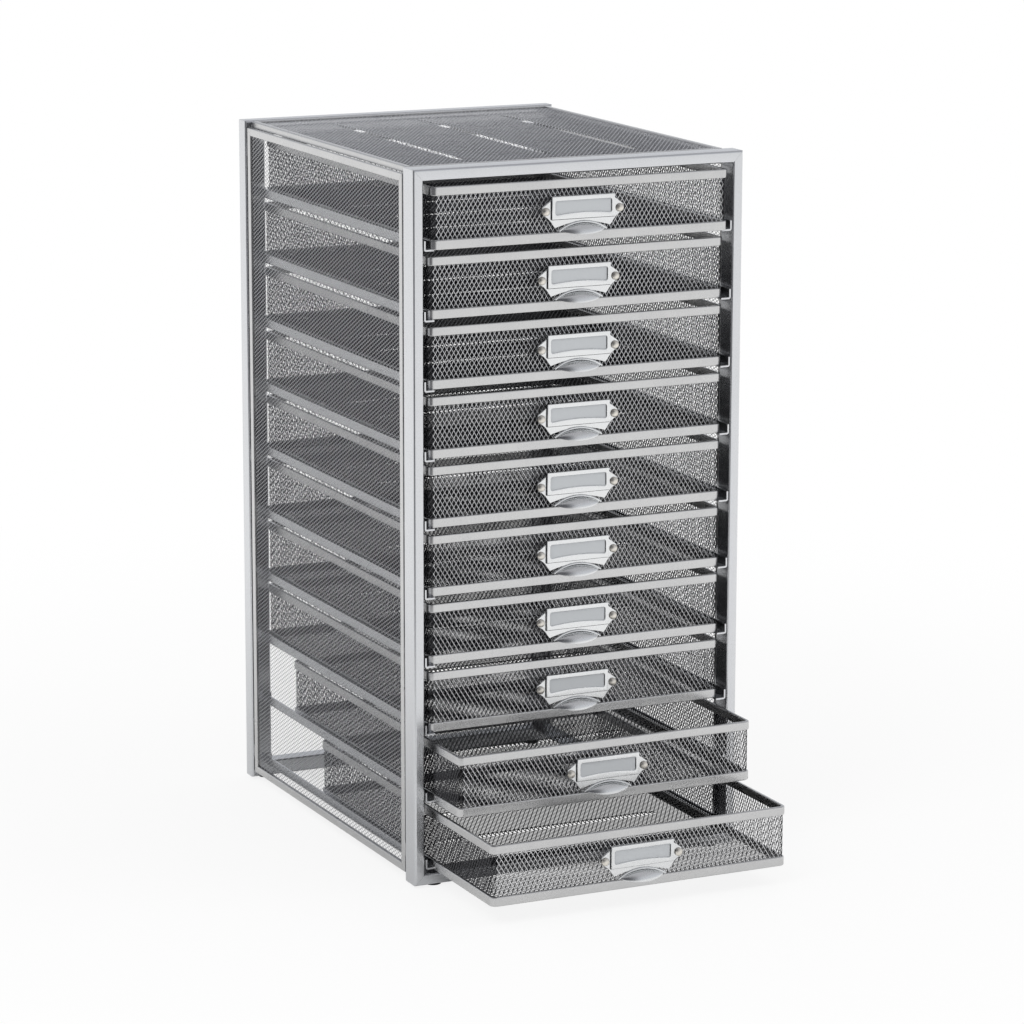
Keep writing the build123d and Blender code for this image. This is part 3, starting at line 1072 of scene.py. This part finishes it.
@dataclass
class Drawer:
    """One drawer, built once with its outline centred on the origin and its underside at Z = 0."""

    width: float = 235.0 * MM
    depth: float = 308.0 * MM
    height: float = 44.5 * MM
    corner_radius: float = 4.75 * MM
    rim_thickness: float = 2.6 * MM
    rim_edge: float = 0.8 * MM
    top_rim_height: float = 6.5 * MM
    bottom_rim_height: float = 7.0 * MM
    mesh_thickness: float = 1.0 * MM
    floor_level: float = 1.6 * MM
    lattice: Lattice = Lattice(3.54 * MM, 5.75 * MM)
    floor_lattice: Lattice = Lattice(3.54 * MM, 5.75 * MM, 0.6 * MM, 0.5 * MM)
    wall_inset: float = 1.5 * MM
    bead_spacing: float = 62.0 * MM
    bead_end_gap: float = 26.0 * MM

    def loop(self) -> RoundedLoop:
        """Return the line half way through the rims' thickness."""
        inset = self.rim_thickness / 2
        width, depth = self.width - 2 * inset, self.depth - 2 * inset
        return RoundedLoop(width, depth, self.corner_radius - inset)

    def rim(self, height: float) -> Shape:
        """Build one rim standing on Z = 0.

        Args:
            height: The rim's height.

        Returns:
            The rim.
        """
        loop = self.loop()
        length = loop.length()
        shape = Shape()
        middle = shift(length / 2, height / 2, 0)
        verts = shape.box((length, height, self.rim_thickness), middle)
        shape.bevel(shape.edges_along(0, verts), self.rim_edge)
        ends = [face for face in shape.mesh.faces if abs(face.normal.x) > 0.9]
        bmesh.ops.delete(shape.mesh, geom=ends, context="FACES_ONLY")
        loop.wrap(shape).weld()
        return shape.outward()

    def rims(self) -> Shape:
        """Build the top and the bottom rim."""
        whole = self.rim(self.bottom_rim_height)
        whole.add(self.rim(self.top_rim_height), shift(0, 0, self.height - self.top_rim_height))
        return whole

    def walls(self) -> Shape:
        """Build the mesh walls, with a whole number of diamonds round the drawer."""
        loop = self.loop()
        length = loop.length()
        count = round(length / self.lattice.diamond_width)
        fitted = Lattice(length / count, self.lattice.diamond_height)
        shape = loop.wrap(fitted.sheet(length, self.height - 2 * self.wall_inset))
        return shape.move(shift(0, 0, self.wall_inset))

    def floor(self) -> Shape:
        """Build the mesh floor with its three beads."""
        width, depth = self.width - self.rim_thickness, self.depth - self.rim_thickness
        shape = self.floor_lattice.sheet(width, depth)
        shape.move(shift(-width / 2, -depth / 2, 0))
        for place in (-1, 0, 1):
            Bead(place * self.bead_spacing, self.width / 2 - self.bead_end_gap).press(shape)
        return shape.move(shift(0, 0, self.floor_level))


@dataclass
class Pull:
    """The stamped label pull, its rivets and its card.

    Z is the height above the drawer's underside, and the shapes face forwards along -Y from the
    mesh's outer face at Y = 0. The ear's corners run down the right side: how far each one stands
    out from the card frame, and its height.
    """

    thickness: float = 1.2 * MM
    edge_radius: float = 0.4 * MM
    lift: float = 2.0 * MM
    frame_width: float = 49.7 * MM
    frame_height: float = 16.3 * MM
    frame_bottom: float = 14.3 * MM
    frame_side_border: float = 2.5 * MM
    frame_border: float = 3.1 * MM
    frame_rise: float = 1.7 * MM
    frame_edge_radius: float = 0.35 * MM
    shoulder: float = 2.6 * MM
    ear: tuple = (
        (6.95 * MM, 23.0 * MM),
        (6.35 * MM, 17.4 * MM),
        (3.2 * MM, 15.6 * MM),
        (0.75 * MM, 13.2 * MM),
        (-1.2 * MM, 10.4 * MM),
        (-2.95 * MM, 8.0 * MM),
    )
    skirt_crown: float = 11.6 * MM
    window_arch: float = 1.3 * MM
    window_radius: float = 1.6 * MM
    card_thickness: float = 0.4 * MM
    card_radius: float = 1.0 * MM
    card_overlap: float = 0.5 * MM
    card_gap: float = 0.45 * MM
    # The seam fields size a near-black strip of painted shade under the card frame; the ring fields
    # size discs of painted shadow behind the rivet heads.
    shade_seam_width: float = 0.45 * MM
    shade_seam_sink: float = 0.05 * MM
    shade_seam_radius: float = 0.5 * MM
    ring_share: float = 0.98
    ring_depth: float = 0.7 * MM
    ring_out: float = 0.3 * MM
    ridge_half_width: float = 19.3 * MM
    ridge_width: float = 1.8 * MM
    ridge_bulge: float = 1.1
    ridge_foot: float = 6.6 * MM
    ridge_crown: float = 12.6 * MM
    cup_half_width: float = 17.6 * MM
    cup_foot: float = 6.2 * MM
    cup_crown: float = 10.6 * MM
    cup_lip: float = 3.4 * MM
    cup_depth: float = 6.5 * MM
    cup_wall: float = 0.8 * MM
    rivet_reach: float = 29.2 * MM
    rivet_height: float = 20.0 * MM
    rivet_radius: float = 3.0 * MM
    rivet_rise: float = 1.9 * MM
    tail_radius: float = 2.4 * MM
    tail_thickness: float = 0.8 * MM
    tail_edge_radius: float = 0.2 * MM
    tail_back: float = 1.4 * MM

    def plate_outline(self) -> list:
        """Return the right half of the plate's outline, from top to lower middle, as X and Z."""
        half = self.frame_width / 2
        top = self.frame_bottom + self.frame_height
        corners = [(half, top), (half, top - self.shoulder)]
        corners += [(half + out, height) for out, height in self.ear]
        crown, tip = self.skirt_crown, corners[-1]
        for share in (0.85, 0.7, 0.55, 0.4, 0.2):
            corners.append((tip[0] * share, crown - (crown - tip[1]) * share**2))
        return corners

    def plate(self) -> Shape:
        """Build the flat plate with its pointed ears."""
        shape = Shape()
        right = self.plate_outline()
        left = [(-x, z) for x, z in reversed(right)]
        outline = [*right, (0.0, self.skirt_crown), *left]
        shape.mesh.faces.new([shape.mesh.verts.new((x, 0, z)) for x, z in outline])
        shape.extrude((0, -self.thickness, 0))
        shape.outward()
        face = -self.thickness / 2
        rim = [edge for edge in shape.mesh.edges if all(v.co.y < face for v in edge.verts)]
        shape.bevel(rim, self.edge_radius, 2)
        return shape

    def window(self) -> Shape:
        """Build the flat outline of the card frame's window.

        Returns:
            The window with rounded corners and an arched sill, centred on the origin.
        """
        shape = Shape()
        half = self.frame_width / 2 - self.frame_side_border
        shape.rectangle(2 * half, self.frame_height - 2 * self.frame_border)
        shape.bevel(shape.mesh.verts[:], self.window_radius, 5, "VERTICES")
        sill = [edge for edge in shape.edges_along(0) if edge.verts[0].co.y < 0]
        bmesh.ops.subdivide_edges(shape.mesh, edges=sill, cuts=9)
        reach = half - self.window_radius
        for vert in shape.mesh.verts:
            if vert.co.y < 0 and abs(vert.co.x) < reach:
                vert.co.y += self.window_arch * (1 - (vert.co.x / reach) ** 2)
        return shape

    def card_frame(self) -> Shape:
        """Build the raised frame round the card's window."""
        shape = self.window()
        shape.rectangle(self.frame_width, self.frame_height)
        bmesh.ops.delete(shape.mesh, geom=shape.mesh.faces[:], context="FACES_ONLY")
        edges = shape.mesh.edges[:]
        bmesh.ops.triangle_fill(shape.mesh, edges=edges, use_beauty=True, use_dissolve=False)
        shape.extrude((0, 0, self.frame_rise - self.shade_seam_width / 2))
        shape.outward()
        face = self.frame_rise / 2
        top = [edge for edge in shape.mesh.edges if all(v.co.z > face for v in edge.verts)]
        rims = [edge for edge in top if any(abs(side.normal.z) < 0.5 for side in edge.link_faces)]
        shape.bevel(rims, self.frame_edge_radius, 2)
        middle_z = self.frame_bottom + self.frame_height / 2
        return shape.move(facing(0, -self.thickness - self.shade_seam_width / 2, middle_z))

    def shade_seams(self) -> Shape:
        """Build the strips of painted shade under the card frame and the rings of painted shadow
        round the rivets.
        """
        whole = Shape()
        gap = self.shade_seam_width
        front = -self.thickness - gap / 2 + self.shade_seam_sink
        middle_z = self.frame_bottom + (self.frame_height - gap) / 2
        size = (self.frame_width + 2 * gap, gap, self.frame_height + gap)
        whole.box(size, shift(0, front, middle_z))
        whole.bevel(whole.edges_along(1), self.shade_seam_radius, 2)
        for side in (-1, 1):
            ring = Shape()
            ring.disc(self.rivet_radius * self.ring_share, self.ring_depth, 28)
            reach = side * self.rivet_reach
            whole.add(ring, facing(reach, -self.thickness - self.ring_out, self.rivet_height))
        return whole

    def ridge(self) -> Shape:
        """Build the arched ridge over the finger cup."""
        shape = Shape()
        mesh, half = shape.mesh, self.ridge_width / 2
        rise = self.ridge_crown - self.ridge_foot
        radius = (self.ridge_half_width**2 + rise**2) / (2 * rise) - half
        reach = math.asin(self.ridge_half_width / (radius + half))
        centre_z = self.ridge_crown - half - radius
        turn = Matrix.Rotation(math.pi / 2, 4, "Z")
        bmesh.ops.create_circle(mesh, cap_ends=False, segments=12, radius=half, matrix=turn)
        shape.move(Matrix.Rotation(math.pi / 2, 4, "Y"))
        stretch = Matrix.Diagonal((1, self.ridge_bulge, 1, 1))
        shape.move(shift(0, -self.thickness, centre_z + radius) @ stretch)
        axis, centre = (0, 1, 0), (0, 0, centre_z)
        section = shape.everything()
        lean = Matrix.Rotation(-reach, 3, axis)
        bmesh.ops.rotate(mesh, verts=mesh.verts, cent=centre, matrix=lean)
        bmesh.ops.spin(
            mesh, geom=section, cent=centre, axis=axis, angle=2 * reach, steps=28,
            use_duplicate=False,
        )
        shape.close()
        return shape.outward()

    def cup(self) -> Shape:
        """Build the half-moon finger cup, open below."""
        shape = Shape()
        bmesh.ops.create_grid(shape.mesh, x_segments=36, y_segments=10, size=1.0)
        for vert in shape.mesh.verts:
            along, turn = vert.co.x, (1 - vert.co.y) / 2 * math.pi / 2
            bow = 1 - along**2
            crown = self.cup_foot + (self.cup_crown - self.cup_foot) * bow
            lip = self.cup_foot - (self.cup_foot - self.cup_lip) * bow**0.7
            swell = math.sin(turn) ** 0.8
            z = crown + (lip - crown) * (1 - math.cos(turn)) ** 0.8
            y = -self.thickness - self.cup_depth * bow**0.8 * swell
            vert.co = (along * self.cup_half_width, y, z)
        shape.weld()
        return shape.thicken(self.cup_wall)

    def body(self) -> Shape:
        """Build the whole pull."""
        whole = self.plate()
        for part in (self.card_frame(), self.ridge(), self.cup()):
            whole.add(part)
        return whole

    def rivets(self) -> Shape:
        """Build the two domed rivets."""
        whole = Shape()
        front = -self.thickness - self.shade_seam_width
        for side in (-1, 1):
            reach = side * self.rivet_reach
            head = Shape()
            radius = self.rivet_radius
            bmesh.ops.create_uvsphere(head.mesh, u_segments=28, v_segments=16, radius=radius)
            head.move(Matrix.Diagonal((1, 1, self.rivet_rise / radius, 1)))
            head.trim((0, 0, 0), (0, 0, -1))
            whole.add(head, facing(reach, front, self.rivet_height))
            tail = Shape()
            tail.disc(self.tail_radius, self.tail_thickness, 24)
            tail.bevel(tail.level_edges(), self.tail_edge_radius, 2)
            whole.add(tail, facing(reach, self.tail_back, self.rivet_height))
        return whole

    def card(self) -> Shape:
        """Build the blank card, which leaves a painted shadow line at its right, where the shade
        strip behind it shows.
        """
        shape = Shape()
        width = self.frame_width - 2 * self.frame_side_border + self.card_overlap - self.card_gap
        height = self.frame_height - 2 * self.frame_border + 2 * self.card_overlap
        middle_x = -(self.card_overlap + self.card_gap) / 2
        middle_y = -self.thickness - self.shade_seam_width - self.card_thickness / 2
        middle_z = self.frame_bottom + self.frame_height / 2
        size = (width, self.card_thickness, height)
        shape.box(size, shift(middle_x, middle_y, middle_z))
        shape.bevel(shape.edges_along(1), self.card_radius)
        return shape


@dataclass
class DrawerSet:
    """All the drawers: each piece is built once and copied to every drawer's place."""

    drawer: Drawer = field(default_factory=Drawer)
    pull: Pull = field(default_factory=Pull)

    def dress(self, dresser: Dresser) -> None:
        """Add every drawer to the scene."""
        drawer, pull = self.drawer, self.pull
        front = -drawer.depth / 2 + (drawer.rim_thickness - drawer.mesh_thickness) / 2
        to_front = shift(0, front, pull.lift)
        parts = [
            # The walls' and the floor's finishes carry painted shade, and the pull's seams are
            # strips of painted shade.
            ("basket", "walls", drawer.walls(), Finish.WALL_MESH, Shading.FLAT),
            ("basket", "floor", drawer.floor(), Finish.SHADED_FLOOR_MESH, Shading.FLAT),
            ("rims", "bands", drawer.rims(), Finish.RIM, Shading.ROUNDED),
            ("pull", "shade_seams", pull.shade_seams().move(to_front), Finish.SHADE_SEAM, Shading.FLAT),
            ("pull", "plate", pull.body().move(to_front), Finish.PULL, Shading.ROUNDED),
            ("rivets", "heads", pull.rivets().move(to_front), Finish.RIVET, Shading.ROUNDED),
            ("card", "blank", pull.card().move(to_front), Finish.CARD, Shading.ROUNDED),
        ]
        masters = [shape.finished(f"{kind}_{suffix}") for kind, suffix, shape, _, _ in parts]
        for number in range(1, DRAWER_COUNT + 1):
            body = f"drawer_{number:02d}"
            low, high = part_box(f"{body}_rims")
            place = shift((low.x + high.x) / 2, (low.y + high.y) / 2, low.z)
            for master, (kind, suffix, _, finish, shading) in zip(masters, parts):
                mesh = master.copy()
                mesh.transform(place)
                name, node = f"{body}_{kind}_{suffix}", f"{body}_{kind}"
                dresser.piece(name, mesh, finish, body, node, shading)


# The studio


@dataclass
class Studio:
    """The floor, the light and the camera."""

    lens: float = 142.71
    yaw: float = math.radians(25.438)
    pitch: float = math.radians(12.343)
    roll: float = math.radians(0.111)
    camera_place: tuple = (-1.2710, -2.7230, 0.8917)
    aim: tuple = (0, 0, 0.25)
    floor_radius: float = 6.0
    floor_colour: tuple = (0.93, 0.93, 0.93)
    floor_glow: float = 0.85
    glow_range: tuple = (0.3, 1.1)
    dark_side: tuple = (-0.75, -0.62, 0.22)
    dark_colour: tuple = (0.09, 0.09, 0.10)
    dark_depth: float = 0.9
    dark_spread: tuple = (0.66, 0.90)
    dark_range: tuple = (0.6, 1.1)
    even_level: tuple = (0.75, 0.75, 0.75)
    corner_stops: tuple = ((0.45, (1.0, 1.0, 1.0)), (0.75, (0.13, 0.13, 0.14)))
    sky_stops: tuple = (
        (0.0, (0.90, 0.90, 0.90)),
        (0.2, (0.62, 0.64, 0.68)),
        (0.5, (0.58, 0.59, 0.62)),
        (0.75, (0.46, 0.46, 0.48)),
    )

    @staticmethod
    def add(name: str, data: bpy.types.ID) -> bpy.types.Object:
        """Put an object in the scene.

        Args:
            name: Its name.
            data: Its mesh, lamp or camera.

        Returns:
            The object.
        """
        made = bpy.data.objects.new(name, data)
        bpy.context.scene.collection.objects.link(made)
        return made

    def camera(self) -> None:
        """Add the camera."""
        data = bpy.data.cameras.new("camera")
        data.lens = self.lens
        data.sensor_width = 36.0
        data.clip_start, data.clip_end = 0.05, 50.0
        forward = Vector((
            math.sin(self.yaw) * math.cos(self.pitch),
            math.cos(self.yaw) * math.cos(self.pitch),
            -math.sin(self.pitch),
        ))
        level = Vector((math.cos(self.yaw), -math.sin(self.yaw), 0))
        rise = level.cross(forward)
        right = level * math.cos(self.roll) + rise * math.sin(self.roll)
        up = rise * math.cos(self.roll) - level * math.sin(self.roll)
        turn = Matrix((right, up, -forward)).transposed().to_4x4()
        made = self.add("camera", data)
        made.matrix_world = Matrix.Translation(self.camera_place) @ turn
        bpy.context.scene.camera = made

    def glow_share(self, shader: Shader, distance: Socket) -> Value:
        """Return how much of the floor's colour is its own white: less of it near the cabinet.

        Args:
            shader: The tree to add to.
            distance: The distance from the cabinet.

        Returns:
            The share, for rays straight from the camera and for mirror-like bounces.
        """
        near = shader.fade(distance, self.glow_range, (self.floor_glow, 1.0))
        far = shader.fade(distance, self.glow_range, (0.0, 1.0))
        straight = shader.ray("Camera").highest(shader.ray("Transmission"))
        return straight * near + shader.ray("Glossy") * far

    def dark_share(self, shader: Shader, distance: Socket) -> Value:
        """Return how dark the floor looks in mirror-like bounces towards the room's dark side.

        Args:
            shader: The tree to add to.
            distance: The distance from the cabinet.

        Returns:
            The share, 0 for rays straight from the camera.
        """
        away = shader.vector("NORMALIZE", shader.point()).outputs["Vector"]
        lean = self.towards(shader, away, (self.dark_side[0], self.dark_side[1], 0.0))
        sideways = shader.fade(lean, self.dark_spread, (0.0, self.dark_depth))
        return shader.ray("Glossy") * sideways * shader.fade(distance, self.dark_range, (0.0, 1.0))

    def floor(self) -> None:
        """Add the pale floor, which keeps the cabinet's shadow."""
        shape = Shape()
        bmesh.ops.create_circle(shape.mesh, cap_ends=True, segments=96, radius=self.floor_radius)
        mesh = shape.finished("floor")
        material = bpy.data.materials.new("white_floor")
        shader = Shader(material)
        matt = shader.node("BsdfDiffuse", {"Color": shader.rgba(self.floor_colour)}).outputs[0]
        distance = shader.vector("LENGTH", shader.point()).outputs["Value"]
        glow = shader.light("Emission", (1, 1, 1))
        mixed = shader.mix(self.glow_share(shader, distance), matt, glow)
        dim = shader.light("Emission", self.dark_colour)
        last = shader.mix(self.dark_share(shader, distance), mixed, dim)
        shader.node("OutputMaterial", {"Surface": last})
        mesh.materials.append(material)
        self.add("floor", mesh)

    @staticmethod
    def towards(shader: Shader, direction: Socket, axis: Sequence[float]) -> Socket:
        """Return how far a direction leans towards an axis.

        Args:
            shader: The tree to add to.
            direction: The direction's socket.
            axis: The axis.

        Returns:
            The cosine of the angle between them.
        """
        unit = tuple(Vector(axis).normalized())
        return shader.vector("DOT_PRODUCT", direction, unit).outputs["Value"]

    def world(self) -> None:
        """Light the scene evenly, with a dark stretch of room where the photographer stands."""
        world = bpy.data.worlds.new("studio")
        bpy.context.scene.world = world
        shader = Shader(world)
        direction = shader.node("TexCoord").outputs["Generated"]
        lean = self.towards(shader, direction, self.dark_side)
        height = self.towards(shader, direction, (0, 0, 1))
        corner = shader.node("ValToRGB", {"Fac": lean}, stops=self.corner_stops).outputs["Color"]
        sky = shader.node("ValToRGB", {"Fac": height}, stops=self.sky_stops).outputs["Color"]
        mirrored = shader.light("Background", shader.blend(1.0, sky, corner, "MULTIPLY"))
        even = shader.light("Background", self.even_level)
        white = shader.light("Background", (1, 1, 1))
        straight = shader.ray("Camera").highest(shader.ray("Transmission"))
        first = shader.mix(shader.ray("Glossy"), even, mirrored)
        shader.node("OutputWorld", {"Surface": shader.mix(straight, first, white)})

    def lamp(self, name: str, place: Sequence[float], size: float, energy: float) -> None:
        """Add a soft area lamp that points at the cabinet's middle.

        Args:
            name: The lamp's name.
            place: Where it hangs.
            size: The length of its sides.
            energy: Its power in watts.
        """
        data = bpy.data.lights.new(name, "AREA")
        data.size = size
        data.energy = energy
        made = self.add(name, data)
        made.location = place
        made.rotation_mode = "QUATERNION"
        made.rotation_quaternion = (Vector(self.aim) - Vector(place)).to_track_quat("-Z", "Y")
        made.visible_glossy = False

    def build(self) -> None:
        """Set the studio up."""
        bpy.context.scene.view_settings.view_transform = "Standard"
        self.camera()
        self.floor()
        self.world()
        self.lamp("key_lamp", (-1.6, -0.9, 1.9), 1.2, 14.0)
        self.lamp("fill_lamp", (1.7, -1.0, 1.6), 1.4, 9.0)


def main() -> None:
    """Build the studio, the cabinet and the drawers."""
    logging.basicConfig(level=logging.INFO, format="%(name)s: %(message)s")
    Studio().build()
    dresser = Dresser()
    side_mesh = Lattice(5.6 * MM, 3.05 * MM, strand_width=0.42 * MM, tilt=math.radians(-28))
    top_panel = FramedPanel(
        "top",
        Lattice(5.4 * MM, 3.5 * MM, strand_width=0.60 * MM),
        outwards=(0, 0, 1),
        mesh_finish=Finish.TOP_MESH,
        edging_width=3.0 * MM,
        edge_radius=0.5 * MM,
        lip_height=4.4 * MM,
        front_gap=3.2 * MM,
        beads=tuple(Bead(place * 70 * MM, 115 * MM) for place in (-1, 0, 1)),
    )
    assemblies = [
        TubeFrame("front_frame", post=7.9 * MM, rail=8.5 * MM),
        TubeFrame("rear_frame", post=16.5 * MM, rail=12.0 * MM),
        FramedPanel("left_side", side_mesh, outwards=(-1, 0, 0)),
        FramedPanel("right_side", side_mesh, outwards=(1, 0, 0)),
        top_panel,
        Runners(),
        RubberFeet(),
        DrawerSet(),
    ]
    for assembly in assemblies:
        assembly.dress(dresser)


if __name__ == "__main__":
    main()
